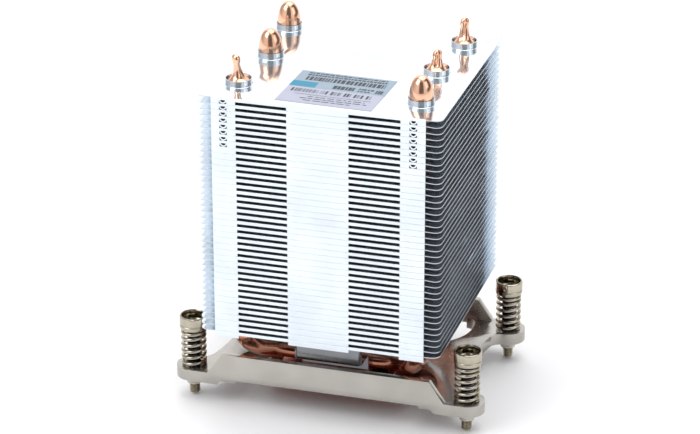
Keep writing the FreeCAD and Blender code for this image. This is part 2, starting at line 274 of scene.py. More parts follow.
def rolled_aluminium():
    """Rolled 1100 aluminium sheet: a bright mirror, a little hazy, with fine lines along X."""
    # the mill's own lines are hundredths of a millimetre apart; drawn as coarse as they need to show
    marks = {"marks_mm": 0.35, "depth_mm": 0.004, "stretch": (0.03, 1, 1)}
    sheet = colours().sheet
    return finish("rolled_aluminium_sheet", sheet, (0.12, 0.2), clouds_mm=14, **marks, Metallic=0.93)


def bright_aluminium():
    """Bright-rolled aluminium under its first polish: the top fin's clean mirror with a slight haze."""
    waves = {"clouds_mm": 22, "marks_mm": 18, "depth_mm": 0.003}
    return finish("bright_rolled_aluminium", colours().sheet, (0.07, 0.11), **waves, Metallic=0.87)


def sheared_aluminium():
    """The sheared edge of aluminium sheet: a thin pale line, torn into fine strokes."""
    # the tears are near 0.05 mm wide; drawn as coarse as they need to show
    tears = {"clouds_mm": 0.25, "marks_mm": 0.25, "depth_mm": 0.01}
    return finish("sheared_aluminium_edge", colours().cut, (0.3, 0.42), **tears, Metallic=1.0)


def drawn_copper():
    """Drawn copper tube: warm mirror bands, fine marks along it, and painted shade, a darker brown low down
    where the fin stack shades it.
    """
    # the die's marks are under 0.1 mm wide; drawn as coarse as they need to show
    marks = {"marks_mm": 0.5, "depth_mm": 0.003, "stretch": (1, 1, 0.06)}
    # painted shade: below the fin stack the copper turns a darker brown
    clouds_and_low_shade = {"clouds_mm": 5, "heated": tuple(colours().heated)}
    return finish("drawn_copper_tube", colours().pipe, (0.09, 0.17), **marks, **clouds_and_low_shade, Metallic=1.0)


def milled_copper():
    """Face-milled copper: darker and duller than the pipes, with cutter marks and soft brown clouds."""
    # a face mill's marks are typically 0.1 to 0.2 mm apart; drawn as coarse as they need to show
    marks = {"marks_mm": 0.4, "depth_mm": 0.006, "stretch": (1, 0.08, 1)}
    return finish("milled_copper_plate", colours().base, (0.22, 0.36), clouds_mm=7, **marks, Metallic=1.0)


def extruded_aluminium():
    """Extruded and sawn aluminium block: grey satin with drawing lines along its height."""
    # the lines are near 0.1 mm apart; drawn as coarse as they need to show
    lines = {"marks_mm": 0.6, "depth_mm": 0.006, "stretch": (1, 1, 0.05)}
    block = colours().block
    return finish("extruded_aluminium_block", block, (0.14, 0.26), clouds_mm=6, **lines, Metallic=1.0)


def cast_zinc():
    """Die-cast zinc: soft grey metal whose oxide film scatters some light, with a fine grain."""
    # the grain is near 0.1 mm; drawn as coarse as it needs to show
    grain = {"marks_mm": 0.45, "depth_mm": 0.012}
    return finish("die_cast_zinc", colours().casting, (0.17, 0.28), clouds_mm=9, **grain, Metallic=0.9)


def painted_highlight_zinc():
    """Die-cast zinc on the bracket's rounded edges, painted pale: a painted highlight, rough so that it
    scatters a warm line where light would catch the edges.
    """
    highlight_noise = {"clouds_mm": 9, "marks_mm": 0.45, "depth_mm": 0.0}
    return finish("die_cast_zinc_painted_highlight", colours().edge_highlight, (0.5, 0.6), **highlight_noise, Metallic=0.2)


def nickel_plate():
    """Bright nickel plate on steel: a yellowish mirror, slightly uneven from the plating bath."""
    bath = {"clouds_mm": 1.6, "marks_mm": 1.6, "depth_mm": 0.006}
    return finish("nickel_plated_steel", colours().plating, (0.07, 0.14), **bath, Metallic=1.0)


def dark_shank_and_shade():
    """Dark steel under a film of oil, painted near black with a faint violet cast: partly the shank's own
    dark steel, partly painted shade inside the spring.
    """
    film = {"clouds_mm": 1.2, "marks_mm": 1.2, "depth_mm": 0.004}
    return finish("dark_shank_steel_and_painted_shade", colours().shank, (0.2, 0.32), **film, Metallic=1.0)


def turned_steel():
    """Turned steel with a thin plate: satin, with rings from the lathe tool."""
    # the tool's feed is near 0.1 mm a turn; its rings are drawn as coarse as they need to show
    rings = {"marks_mm": 0.3, "depth_mm": 0.008, "stretch": (0.05, 0.05, 1)}
    return finish("turned_steel", colours().collar, (0.2, 0.32), clouds_mm=2, **rings, Metallic=1.0)


def label_ink(name, base):
    """Ink on polyester label stock: a smooth, slightly uneven film with a soft gloss."""
    # the ink's own mottle is near 0.1 mm; drawn as coarse as it needs to show
    mottle = {"clouds_mm": 0.35, "marks_mm": 0.35, "depth_mm": 0.003, "shades": (0.93, 1.04)}
    return finish(name, base, (0.42, 0.48), **mottle, Specular_IOR_Level=0.35)


def studio_paper():
    """Matte white paper under the object, with the faintest tooth."""
    tooth = {"clouds_mm": 1.5, "marks_mm": 1.5, "depth_mm": 0.0, "shades": (0.995, 1.0)}
    return finish("studio_paper", linear("FBFBFC"), (0.88, 0.92), **tooth, Specular_IOR_Level=0.1)


# ---------------------------------------------------------------- mesh tools


def make_object(name, bm, material, scale=MM):
    """A mesh object from a bmesh in millimetres, or in metres where the scale is 1."""
    bmesh.ops.scale(bm, vec=(scale, scale, scale), verts=bm.verts)
    mesh = bpy.data.meshes.new(name)
    bm.to_mesh(mesh)
    bm.free()
    obj = bpy.data.objects.new(name, mesh)
    bpy.context.scene.collection.objects.link(obj)
    for entry in material if isinstance(material, (list, tuple)) else [material]:
        mesh.materials.append(entry)
    return obj


def settle(obj):
    """Applies the modifiers, and shades smooth all but the sharp edges."""
    bpy.context.view_layer.update()
    graph = bpy.context.evaluated_depsgraph_get()
    mesh = bpy.data.meshes.new_from_object(obj.evaluated_get(graph), depsgraph=graph)
    obj.modifiers.clear()
    obj.data = mesh
    mesh.name = obj.name
    mesh.shade_smooth()
    mesh.set_sharp_from_angle(angle=SHARP_ANGLE)
    return obj


def hand_over(obj, body, slot, *nodes):
    """Lets a piece ride on its body in place of its CAD nodes."""
    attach(obj, body)
    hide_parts(*nodes)
    return obj


def join_rings(bm, rings, closed=False):
    """Faces through equal rings of points, capped at both ends or closed on themselves."""
    rows = [[bm.verts.new(p) for p in ring] for ring in rings]
    pairs = list(zip(rows, rows[1:])) + ([(rows[-1], rows[0])] if closed else [])
    for lower, upper in pairs:
        for n in range(len(lower)):
            bm.faces.new((lower[n - 1], lower[n], upper[n], upper[n - 1]))
    if not closed:
        bm.faces.new(rows[0][::-1])
        bm.faces.new(rows[-1])
    bmesh.ops.recalc_face_normals(bm, faces=bm.faces)
    return rows


def around(centre, radius, angle, z):
    """A point at a radius and angle around an upright axis."""
    return Vector((centre.x + radius * math.cos(angle), centre.y + radius * math.sin(angle), z))


def circle(radius, z, centre, steps=ROUND_STEPS):
    """A ring of points around an upright axis."""
    return [around(centre, radius, 2 * math.pi * n / steps, z) for n in range(steps)]


def frames_along(path):
    """A point and two cross directions at each step of a path, without twist."""
    tangents = []
    for n, point in enumerate(path):
        before, after = path[max(n - 1, 0)], path[min(n + 1, len(path) - 1)]
        tangents.append((after - before).normalized())
    across = tangents[0].orthogonal().normalized()
    result = []
    for point, tangent in zip(path, tangents):
        across = (across - tangent * across.dot(tangent)).normalized()
        result.append((point, across, tangent.cross(across)))
    return result


def tube_rings(path, radius, steps):
    """Round rings along a path."""
    angles = [2 * math.pi * n / steps for n in range(steps)]
    return [
        [point + across * (radius * math.cos(a)) + other * (radius * math.sin(a)) for a in angles]
        for point, across, other in frames_along(path)
    ]


def rounded_route(points, radii):
    """A centre line whose corners are arcs."""
    line = [points[0]]
    for before, corner, after, radius in zip(points, points[1:], points[2:], radii):
        arrive, leave = (corner - before).normalized(), (after - corner).normalized()
        turn = arrive.angle(leave)
        first = corner - arrive * (radius * math.tan(turn / 2))
        inward = (leave - arrive * leave.dot(arrive)).normalized()
        for n in range(BEND_STEPS + 1):
            angle = turn * n / BEND_STEPS
            ahead = arrive * (radius * math.sin(angle))
            line.append(first + ahead + inward * (radius * (1 - math.cos(angle))))
    line.append(points[-1])
    return line


# ---------------------------------------------------------------- fins

BOX_MARGIN = 0.03  # how far the fins stay inside the CAD box, front and rear
FOLD_HALF = 35.4
FOLD_RELIEF = 0.15
FOLD_STOPS = (-5.0, 0.0, 5.0)
LEVEL_TOLERANCE = 1e-6
MESH_TOLERANCE = 1e-5
FOLD_CLEARANCE = 0.02
LIP_DROP = 1.05
WINDOWS = ((-27.1, -10.2), (10.2, 27.1))
NOTCHES = ((-32.5, -30.0), (30.0, 32.5))
NOTCHED_FINS = 8
NOTCH_DROP = 0.8
TAB_WIDTH = 0.42
TAB_SETBACK = 0.05
TAB_STEPS = 10
COLLAR_BEND = 0.3
COLLAR_TOP = 2.1
COLLAR_MIDDLE = 0.55
SEAT_GAP = 0.03
HOLE_STEPS = 32
HOLE_CLEARANCE = 1
PLATE_GRID = 7.6
EAR_ROWS = (36.3, 37.2, 38.4, 39.7)
EAR_STEPS = 14
EAR_REACH = 0.98

FIN_SEED = 700
PHASE_SPAN = (0, 6.28)  # about a full turn
EDGE_WAVES = ((0.11, 1.0), (0.27, 0.5))  # (turn for each millimetre along the edge, share of the ripple)
EDGE_START = 0.8  # where the ripple sets in, as a share of the way out to the edge
EAR_START = 0.85  # where an ear sets in, as a share of the half depth
EAR_LIFT = 2.2  # the most that an ear stands up or down, as a multiple of the ripple
DIP_SPAN = (0.9, 0.9)  # how far past the fold an ear's dip sets in, and how long it takes
DIP_END = (0.9, 0.08)  # the same towards the front and rear, as shares of the half depth
DIP_SHARES = (0.3, 1.0)
BENT_EAR = 0.55  # the lowest fin's front right ear is bent up a little


def fin_openings(index):
    """The stretches of a fin's turned-down edge that stop at a short lip, with the lip's drop."""
    spans = [(a, b, LIP_DROP) for a, b in WINDOWS]
    if index >= len(FIN_NAMES) - NOTCHED_FINS:
        spans += [(a, b, NOTCH_DROP) for a, b in NOTCHES]
    return spans


def plate_outline(half_x, half_y, corner, fold, stops):
    """The flat plate's outline: rounded ears, and fold lines that are set back between them."""
    quarter = [math.pi / 2 * n / ARC_STEPS for n in range(ARC_STEPS + 1)]
    arc = [(corner * (1 - math.cos(a)), corner * (1 - math.sin(a))) for a in quarter]
    left = [(-half_x + dx, -half_y + dy) for dx, dy in arc]
    left += [(-FOLD_HALF, -half_y), (-FOLD_HALF, -half_y + fold)]
    front = left + [(x, -half_y + fold) for x in stops]
    front += [(-x, y) for x, y in reversed(left)]
    return front + [(-x, -y) for x, y in front]


def fin_plate(bm, half_x, half_y, corner, fold, stops, holes, hole_radius):
    """The flat of a fin, with its holes, as a triangulated sheet; returns its corners by place."""
    loops = [plate_outline(half_x, half_y, corner, fold, stops)]
    for hole in holes:
        ring = circle(hole_radius, 0, hole, HOLE_STEPS)
        loops.append([(p.x, p.y) for p in ring])
    points, edges = [], []
    for loop in loops:
        start = len(points)
        points += loop
        edges += [(start + n, start + (n + 1) % len(loop)) for n in range(len(loop))]
    count = int(FOLD_HALF // PLATE_GRID)
    for i in range(-count, count + 1):
        for j in range(-count, count + 1):
            spot = Vector((i * PLATE_GRID, j * PLATE_GRID, 0))
            if all((spot - h).length > hole_radius + HOLE_CLEARANCE for h in holes):
                points.append((spot.x, spot.y))
    for x in EAR_ROWS:
        for n in range(-EAR_STEPS, EAR_STEPS + 1):
            y = n * half_y * EAR_REACH / EAR_STEPS
            points += [(x, y), (-x, y)]
    flat = delaunay_2d_cdt([Vector(p) for p in points], edges, [], 0, MESH_TOLERANCE)
    corners = [bm.verts.new((p.x, p.y, 0)) for p in flat[0]]
    for face in flat[2]:
        middle = mean([corners[n].co for n in face])
        in_hole = any((middle - h).length < hole_radius for h in holes)
        in_front_of_fold = abs(middle.x) < FOLD_HALF and abs(middle.y) > half_y - fold
        if not in_hole and not in_front_of_fold:
            bm.faces.new([corners[n] for n in face])
    return {(round(v.co.x, 3), round(v.co.y, 3)): v for v in corners}


def fold_down(bm, places, side, half_y, fold, stops, spans, full_drop):
    """The turned-down edge of a fin, row by row from its fold line."""
    quarter = [math.pi / 2 * (n + 1) / ARC_STEPS for n in range(ARC_STEPS)]
    rows = [(half_y - fold + fold * math.sin(a), -fold * (1 - math.cos(a))) for a in quarter]
    levels = sorted({-drop for a, b, drop in spans}, reverse=True)
    rows += [(half_y, level) for level in levels] + [(half_y, -full_drop)]
    previous = [places[round(x, 3), round(side * (half_y - fold), 3)] for x in stops]
    for y, z in rows:
        current = [bm.verts.new((x, side * y, z)) for x in stops]
        for n in range(len(stops) - 1):
            middle = (stops[n] + stops[n + 1]) / 2
            open_here = any(a < middle < b and z < -drop - LEVEL_TOLERANCE for a, b, drop in spans)
            if not open_here:
                bm.faces.new((previous[n], previous[n + 1], current[n + 1], current[n]))
        previous = current


def draw_collars(bm, places, holes, outer, foot):
    """The drawn collars of the top fin: the sheet turns up around each pipe."""
    quarter = [math.pi / 2 * (n + 1) / ARC_STEPS for n in range(ARC_STEPS)]
    bend = foot - outer
    rows = [(foot - bend * math.sin(a), bend * (1 - math.cos(a))) for a in quarter]
    rows += [(outer, COLLAR_TOP * COLLAR_MIDDLE), (outer, COLLAR_TOP)]
    for hole in holes:
        ring = circle(foot, 0, hole, HOLE_STEPS)
        previous = [places[round(p.x, 3), round(p.y, 3)] for p in ring]
        for radius, z in rows:
            current = [bm.verts.new(p) for p in circle(radius, z, hole, HOLE_STEPS)]
            for n in range(HOLE_STEPS):
                bm.faces.new((previous[n - 1], previous[n], current[n], current[n - 1]))
            previous = current


def past(value, start, run):
    """How far a value is past a start, from 0 there to 1 at the end of a run."""
    return min(1.0, max(0.0, (value - start) / run))


def ripple_fin(bm, rng, half_x, half_y, ripple, dip, bent):
    """Lets the plain edges of a fin wander a little, as thin sheet does."""
    phases = [rng.uniform(*PHASE_SPAN) for wave in EDGE_WAVES]
    lifts = {(sx, sy): rng.uniform(-1, 1) for sx in (-1, 1) for sy in (-1, 1)}
    dips = {corner: rng.uniform(*DIP_SHARES) for corner in lifts}
    for v in bm.verts:
        x, y = v.co.x, v.co.y
        corner = ((x > 0) * 2 - 1, (y > 0) * 2 - 1)
        out, back = abs(x) / half_x, abs(y) / half_y
        edge = past(out, EDGE_START, 1 - EDGE_START)
        wave = sum(share * math.sin(y * turn + phase) for (turn, share), phase in zip(EDGE_WAVES, phases))
        ear = past(abs(x), FOLD_HALF, half_x - FOLD_HALF) * past(back, EAR_START, 1 - EAR_START)
        dipped = past(abs(x), FOLD_HALF + DIP_SPAN[0], DIP_SPAN[1]) * past(back, *DIP_END)
        v.co.z += ripple * edge * wave + EAR_LIFT * ripple * ear * lifts[corner]
        v.co.z -= dip * dips[corner] * dipped
        if bent and x > 0 > y:
            v.co.z += BENT_EAR * ear * ear


def locking_tabs(bm, side, half_y):
    """The small U-shaped tabs, one in each notch, that lock a fin to the one below."""
    tabs = []
    for left, right in NOTCHES:
        middle, outer = (left + right) / 2, (right - left) / 2
        angles = [math.pi + math.pi * n / TAB_STEPS for n in range(TAB_STEPS + 1)]
        rows = []
        for radius in (outer, outer - TAB_WIDTH):
            ring = [(middle + radius * math.cos(a), -NOTCH_DROP + radius * math.sin(a)) for a in angles]
            rows.append([bm.verts.new((x, side * (half_y - TAB_SETBACK), z)) for x, z in ring])
        for n in range(TAB_STEPS):
            tabs.append(bm.faces.new((rows[0][n], rows[0][n + 1], rows[1][n + 1], rows[1][n])))
    return tabs


def fin_sheet(name, index, material, holes):
    """One fin: plate, ears, folded edges with their windows, and collars on the top one."""
    s = sizes()
    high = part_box(name)[1]
    top = index == len(FIN_NAMES) - 1
    half_x, half_y = high.x / MM, high.y / MM - BOX_MARGIN
    drop = FIN_PITCH / MM - FOLD_CLEARANCE
    fold = s.fold_radius / MM
    spans = fin_openings(index)
    ends = FOLD_HALF - FOLD_RELIEF
    stops = sorted({-ends, ends, *(x for span in spans for x in span[:2]), *FOLD_STOPS})
    outer = s.collar_radius / MM
    hole_radius = outer + COLLAR_BEND if top else s.pipe_radius / MM + SEAT_GAP
    bm = bmesh.new()
    places = fin_plate(bm, half_x, half_y, s.ear_radius / MM, fold, stops, holes, hole_radius)
    tabs = []
    for side in (-1, 1):
        fold_down(bm, places, side, half_y, fold, stops, spans, drop)
        if index >= len(FIN_NAMES) - NOTCHED_FINS:
            tabs += locking_tabs(bm, side, half_y)
    if top:
        draw_collars(bm, places, holes, outer, hole_radius)
    bmesh.ops.delete(bm, geom=[v for v in bm.verts if not v.link_faces], context="VERTS")
    bmesh.ops.recalc_face_normals(bm, faces=bm.faces)
    if max(bm.faces, key=lambda f: f.calc_area()).normal.z < 0:
        bmesh.ops.reverse_faces(bm, faces=bm.faces)
    for face in tabs:
        if face.normal.y * face.calc_center_median().y < 0:
            face.normal_flip()
    loose = 0.0 if top else 1.0
    wander = random.Random(FIN_SEED + index)
    ripple_fin(bm, wander, half_x, half_y, loose * s.ripple / MM, loose * s.dip / MM, index == 0)
    below_top = (len(FIN_NAMES) - 1 - index) * FIN_PITCH
    bmesh.ops.translate(bm, vec=(0, 0, (FIN_TOP - below_top) / MM), verts=bm.verts)
    obj = make_object(name + "_sheet", bm, material)
    solid = obj.modifiers.new("sheet", "SOLIDIFY")
    solid.thickness = s.sheet
    solid.offset = -1
    solid.use_even_offset = True
    solid.material_offset_rim = 1
    settle(obj)
    return hand_over(obj, ROOT, "aluminium_fin", name)


class HEATSINK_OT_fins(bpy.types.Operator):
    """Build the folded sheet fins"""

    bl_idname = "heatsink.fins"
    bl_label = "Fins"

    def execute(self, context):
        cut = sheared_aluminium()
        plain, bright = [rolled_aluminium(), cut], [bright_aluminium(), cut]
        holes = [leg_axis(pipe, side) / MM for pipe in PIPE_NAMES for side in (-1, 1)]
        for hole in holes:
            hole.z = 0
        for index, name in enumerate(FIN_NAMES):
            fin_sheet(name, index, bright if name == FIN_NAMES[-1] else plain, holes)
        return {"FINISHED"}


# ---------------------------------------------------------------- heat pipes

RUN_REACH = 16
STRAIGHT_SLACK = 1
SLANT_RUN = 11.0
SLANT_DROP = 5.2
LEG_BEND = 11.0
RUN_BEND = 13.0
# each ring of an end: (share of the pipe's radius, rise above its rim)
DOME = (
    (1.0, 0.2),
    (1.09, 0.8),
    (1.09, 2.1),
    (1.075, 3.2),
    (1.04, 4.4),
    (0.97, 5.6),
    (0.87, 6.8),
    (0.74, 7.8),
    (0.57, 8.65),
    (0.39, 9.15),
    (0.2, 9.36),
    (0.08, 9.4),
)
PINCH = (
    (1.0, 0.1),
    (1.09, 0.6),
    (1.06, 1.1),
    (0.95, 1.55),
    (0.8, 2.0),
    (0.64, 2.6),
    (0.52, 3.4),
    (0.46, 4.6),
)
# the filling tube's last rings: (share of the pipe's radius, distance below the top)
TUBE_END = (
    (0.37, 3.0),
    (0.45, 1.9),
    (0.44, 1.2),
    (0.38, 0.6),
    (0.26, 0.2),
    (0.12, 0.0),
)
CREASE_START = 1.6
CREASE_RUN = 3
LEAN_START = 2
CREASE_DEPTH = 0.5
CREASE_WIDTH = 0.45
CREASE_TWIST = 0.2
PINCH_FLAT = 0.2


def domed(height):
    """A spun-closed end: (share of the radius, rise, crease share) for each ring."""
    scale = height / DOME[-1][1]
    return [(share, rise * scale, 0.0) for share, rise in DOME]


def pinched(height):
    """A shoulder and the narrow filling tube, crimped along one side."""
    rings = [(share, rise, max(0.0, rise - CREASE_START) / CREASE_RUN) for share, rise in PINCH]
    return rings + [(share, height - below, 1.0) for share, below in TUBE_END]


def end_rings(rim, profile, lean, crease_angle):
    """Rings that carry a leg's rim on to its closed end."""
    centre = mean(rim)
    top = profile[-1][1]
    rings = []
    for share, rise, crease in profile:
        ring = []
        shift = lean * (max(0.0, rise - LEAN_START) / (top - LEAN_START))
        for q in rim:
            arm = q - centre
            angle = math.atan2(arm.y, arm.x) - crease_angle - CREASE_TWIST * rise
            away = math.atan2(math.sin(angle), math.cos(angle)) / CREASE_WIDTH
            dent = 1 - CREASE_DEPTH * min(1.0, crease) * math.exp(-away * away)
            dent *= 1 - PINCH_FLAT * min(1.0, crease) * math.cos(angle) ** 2
            ring.append(centre + arm * (share * dent) + UP * rise + shift)
        rings.append(ring)
    return rings


def pipe_route(node):
    """The corners of a pipe's route and the radii of its bends, in millimetres."""
    left, right = leg_axis(node, -1) / MM, leg_axis(node, 1) / MM
    run = run_axis(node, RUN_REACH * MM) / MM
    if abs(left.y - run.y) < STRAIGHT_SLACK:
        points = [left, Vector((left.x, left.y, run.z)), Vector((right.x, right.y, run.z)), right]
        return points, [RUN_BEND, RUN_BEND]
    knee = run.z + SLANT_DROP
    points = [
        left,
        Vector((left.x, left.y, knee)),
        Vector((left.x + SLANT_RUN, run.y, run.z)),
        Vector((right.x - SLANT_RUN, run.y, run.z)),
        Vector((right.x, right.y, knee)),
        right,
    ]
    return points, [LEG_BEND, RUN_BEND, RUN_BEND, LEG_BEND]


# for the left and right end of each pipe: its rings, its lean along X and Y, and where its crease starts
PIPE_ENDS = {
    "heat_pipe_front": ((pinched(9.9), (-0.95, 0.0), -0.9), (domed(9.4), (0.0, 0.0), 0.0)),
    "heat_pipe_middle": ((domed(9.4), (-0.25, 0.0), 0.0), (pinched(8.1), (0.25, 0.0), -2.1)),
    "heat_pipe_rear": ((domed(9.4), (-0.1, 0.0), 0.0), (pinched(9.9), (0.15, 0.0), -2.4)),
}


def heat_pipe(node, material):
    """One bent pipe with its two closed ends."""
    points, radii = pipe_route(node)
    rings = tube_rings(rounded_route(points, radii), sizes().pipe_radius / MM, ROUND_STEPS)
    left, right = PIPE_ENDS[node]
    first = end_rings(rings[0], left[0], Vector((*left[1], 0)), left[2])
    last = end_rings(rings[-1], right[0], Vector((*right[1], 0)), right[2])
    bm = bmesh.new()
    join_rings(bm, first[::-1] + rings + last)
    obj = make_object(node + "_tube", bm, material)
    settle(obj)
    return hand_over(obj, ROOT, "copper_pipe", node)


class HEATSINK_OT_pipes(bpy.types.Operator):
    """Build the bent copper heat pipes"""

    bl_idname = "heatsink.pipes"
    bl_label = "Heat pipes"

    def execute(self, context):
        material = drawn_copper()
        for node in PIPE_NAMES:
            heat_pipe(node, material)
        return {"FINISHED"}


# ---------------------------------------------------------------- bracket, base and saddle


MERGE_DISTANCE = 1e-6
FLAT_ANGLE = math.radians(0.6)
EASED_ANGLE = math.radians(35)
EASED_STEPS = 3


def eased_copy(node, name, material, edge):
    """A CAD node's form with its sharp edges rounded, in the last of its materials."""
    bm = bmesh.new()
    bm.from_mesh(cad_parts[node].data)
    bmesh.ops.remove_doubles(bm, verts=bm.verts, dist=MERGE_DISTANCE)
    bmesh.ops.dissolve_limit(bm, angle_limit=FLAT_ANGLE, verts=bm.verts, edges=bm.edges)
    for face in bm.faces:
        face.material_index = 0
    obj = make_object(name, bm, material, 1.0)
    bevel = obj.modifiers.new("edges", "BEVEL")
    bevel.width = edge
    bevel.segments = EASED_STEPS
    bevel.limit_method = "ANGLE"
    bevel.angle_limit = EASED_ANGLE
    bevel.use_clamp_overlap = True
    # the rounded edges take the last material, which on the bracket is the painted highlight
    bevel.material = len(obj.data.materials) - 1
    return settle(obj)


class HEATSINK_OT_bracket(bpy.types.Operator):
    """Build the cast bracket"""

    bl_idname = "heatsink.bracket"
    bl_label = "Bracket"

    def execute(self, context):
        # the second material is a painted highlight along the rounded edges
        zinc = [cast_zinc(), painted_highlight_zinc()]
        obj = eased_copy("bracket", "bracket_casting", zinc, sizes().casting_edge)
        hand_over(obj, ROOT, "cast_bracket", "bracket")
        return {"FINISHED"}


class HEATSINK_OT_base(bpy.types.Operator):
    """Build the copper base plate and the aluminium saddle"""

    bl_idname = "heatsink.base"
    bl_label = "Base and saddle"

    def execute(self, context):
        edge = sizes().block_edge
        plate = eased_copy("base_plate", "base_plate_milled", milled_copper(), edge)
        hand_over(plate, ROOT, "copper_base", "base_plate")
        block = eased_copy("saddle", "saddle_block", extruded_aluminium(), edge)
        hand_over(block, ROOT, "aluminium_block", "saddle")
        return {"FINISHED"}


# ---------------------------------------------------------------- screws, collars and springs

HEAD_RADIUS = 4.6
CUP_RADIUS = 3.8
CUP_FLOOR = 25.5
SHANK_RADIUS = 2.2
THREAD_RADIUS = 1.9
THREAD_DEPTH = 0.6
THREAD_TOP = 7.1
THREAD_ROWS = 84
THREAD_RUN_IN = 0.8  # how far above the tip the groove is at its full depth
CREST_WIDTH = 0.8
SHANK_SPAN = (10.5, 24.0)  # the heights between which the shank is painted near black: partly dark steel, partly painted shade inside the spring
SHANK_SLACK = 0.1
TIP_RADIUS = 0.8
TIP_HEIGHT = 1.1
RECESS_RADIUS = 2.1
RECESS_DEPTH = 1.6
RECESS_LOBES = 6
RECESS_LEVELS = (
    (RECESS_RADIUS + 0.25, CUP_FLOOR, 0.0),
    (RECESS_RADIUS, CUP_FLOOR - 0.1, 1.0),
    (RECESS_RADIUS, CUP_FLOOR - RECESS_DEPTH, 1.0),
)  # (radius, height, share of the lobes' depth)
LOBE_DEPTH = 0.13
# (radius, height) up the outside of the shank and head, and down into the cup
HEAD_PROFILE = (
    (SHANK_RADIUS, 7.15),
    (SHANK_RADIUS, 24.0),
    (3.9, 24.0),
    (4.45, 24.35),
    (HEAD_RADIUS, 24.9),
    (HEAD_RADIUS, 25.6),
    (4.5, 25.75),
    (4.5, 25.95),
    (HEAD_RADIUS, 26.1),
    (HEAD_RADIUS, 28.45),
    (4.5, 28.75),
    (4.3, 28.9),
    (4.05, 28.9),
    (3.9, 28.75),
    (CUP_RADIUS, 28.5),
    (CUP_RADIUS, 25.9),
    (3.6, 25.6),
    (3.3, CUP_FLOOR),
)


def thread_rings(centre):
    """The threaded end: a helical ridge that fades out towards a tapered tip."""
    pitch = sizes().thread_pitch / MM
    rings = []
    for row in range(THREAD_ROWS + 1):
        z = THREAD_TOP * row / THREAD_ROWS
        taper = min(1.0, z / TIP_HEIGHT)
        crest = TIP_RADIUS + (THREAD_RADIUS - TIP_RADIUS) * math.sin(taper * math.pi / 2)
        ring = []
        for n in range(THREAD_STEPS):
            angle = 2 * math.pi * n / THREAD_STEPS
            turn = (z / pitch - n / THREAD_STEPS) % 1.0
            groove = abs(2 * turn - 1) ** CREST_WIDTH
            radius = crest - THREAD_DEPTH * groove * min(1.0, z / THREAD_RUN_IN)
            ring.append(around(centre, radius, angle, z))
        rings.append(ring)
    return rings


def recess_rings(centre):
    """The six-lobed driver recess in the floor of the cup."""
    rings = []
    for radius, z, lobed in RECESS_LEVELS:
        ring = []
        for n in range(THREAD_STEPS):
            angle = 2 * math.pi * n / THREAD_STEPS
            reach = radius * (1 - LOBE_DEPTH * lobed * (1 - math.cos(RECESS_LOBES * angle)) / 2)
            ring.append(around(centre, reach, angle, z))
        rings.append(ring)
    return rings


def captive_screw(corner, material):
    """One screw: thread, shank, cupped head and driver recess in a single turned skin."""
    node = "captive_screw_" + corner
    centre = screw_axis(corner) / MM
    body = [circle(radius, z, centre, THREAD_STEPS) for radius, z in HEAD_PROFILE]
    bm = bmesh.new()
    join_rings(bm, thread_rings(centre) + body + recess_rings(centre))
    # the shank inside the spring takes the near-black material, which is partly painted shade
    for face in bm.faces:
        middle = face.calc_center_median()
        on_shank = (middle - centre).to_2d().length < SHANK_RADIUS + SHANK_SLACK
        face.material_index = int(on_shank and SHANK_SPAN[0] < middle.z < SHANK_SPAN[1])
    obj = make_object("screw_" + corner + "_plated", bm, material)
    settle(obj)
    return hand_over(obj, "screw_" + corner, "nickel_steel", node)


# (radius, height) around the collar's section
COLLAR_PROFILE = (
    (2.02, 4.1),
    (2.35, 4.1),
    (2.52, 4.22),
    (2.6, 4.9),
    (2.82, 5.05),
    (2.93, 5.3),
    (2.93, 6.95),
    (2.85, 7.08),
    (2.02, 7.08),
)


def retaining_collar(corner, material):
    """The stepped collar under the foot."""
    centre = screw_axis(corner) / MM
    bm = bmesh.new()
    join_rings(bm, [circle(radius, z, centre, THREAD_STEPS) for radius, z in COLLAR_PROFILE], closed=True)
    obj = make_object("collar_" + corner + "_turned", bm, material)
    settle(obj)
    return hand_over(obj, "collar_" + corner, "collar_steel", "retaining_collar_" + corner)


SPRING_TURNS = 6.4
CLOSED_TURNS = 0.8
CLOSED_PITCH = 0.55  # the pitch of the closed end coils, as a share of the wire
COIL_START = -0.6


def coil_height(turn, bottom, top, wire):
    """The height of the wire at a turn: pitch opens from the closed end coils to the middle."""
    active = SPRING_TURNS - 2 * CLOSED_TURNS
    closed_rise = CLOSED_TURNS * wire * CLOSED_PITCH
    share = min(1.0, max(0.0, (turn - CLOSED_TURNS) / active))
    low = bottom + closed_rise * min(1.0, turn / CLOSED_TURNS)
    high = closed_rise * max(0.0, (turn - SPRING_TURNS + CLOSED_TURNS) / CLOSED_TURNS)
    return low + share * (top - bottom - 2 * closed_rise) + high


def screw_spring(corner, material):
    """One compression spring, with closed and ground ends."""
    node = "screw_spring_" + corner
    low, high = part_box(node)
    centre = screw_axis(corner) / MM
    wire = sizes().wire / MM
    coil = sizes().spring_radius / MM - wire / 2
    bottom, top = low.z / MM + wire / 2, high.z / MM - wire / 2
    count = int(SPRING_TURNS * COIL_STEPS)
    path = []
    for n in range(count + 1):
        turn = SPRING_TURNS * n / count
        angle = COIL_START + 2 * math.pi * turn
        path.append(around(centre, coil, angle, coil_height(turn, bottom, top, wire)))
    bm = bmesh.new()
    join_rings(bm, tube_rings(path, wire / 2, WIRE_STEPS))
    obj = make_object(node + "_wire", bm, material)
    settle(obj)
    hand_over(obj, ROOT, "spring_steel", node)
    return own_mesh(obj)


class HEATSINK_OT_screws(bpy.types.Operator):
    """Build the captive screws and their retaining collars"""

    bl_idname = "heatsink.screws"
    bl_label = "Screws and collars"

    def execute(self, context):
        plating, steel = [nickel_plate(), dark_shank_and_shade()], turned_steel()
        for corner in CORNERS:
            captive_screw(corner, plating)
            retaining_collar(corner, steel)
        return {"FINISHED"}


class HEATSINK_OT_springs(bpy.types.Operator):
    """Build the springs around the screws"""

    bl_idname = "heatsink.springs"
    bl_label = "Springs"

    def execute(self, context):
        material = nickel_plate()
        for corner in CORNERS:
            screw_spring(corner, material)
        return {"FINISHED"}


# ---------------------------------------------------------------- label

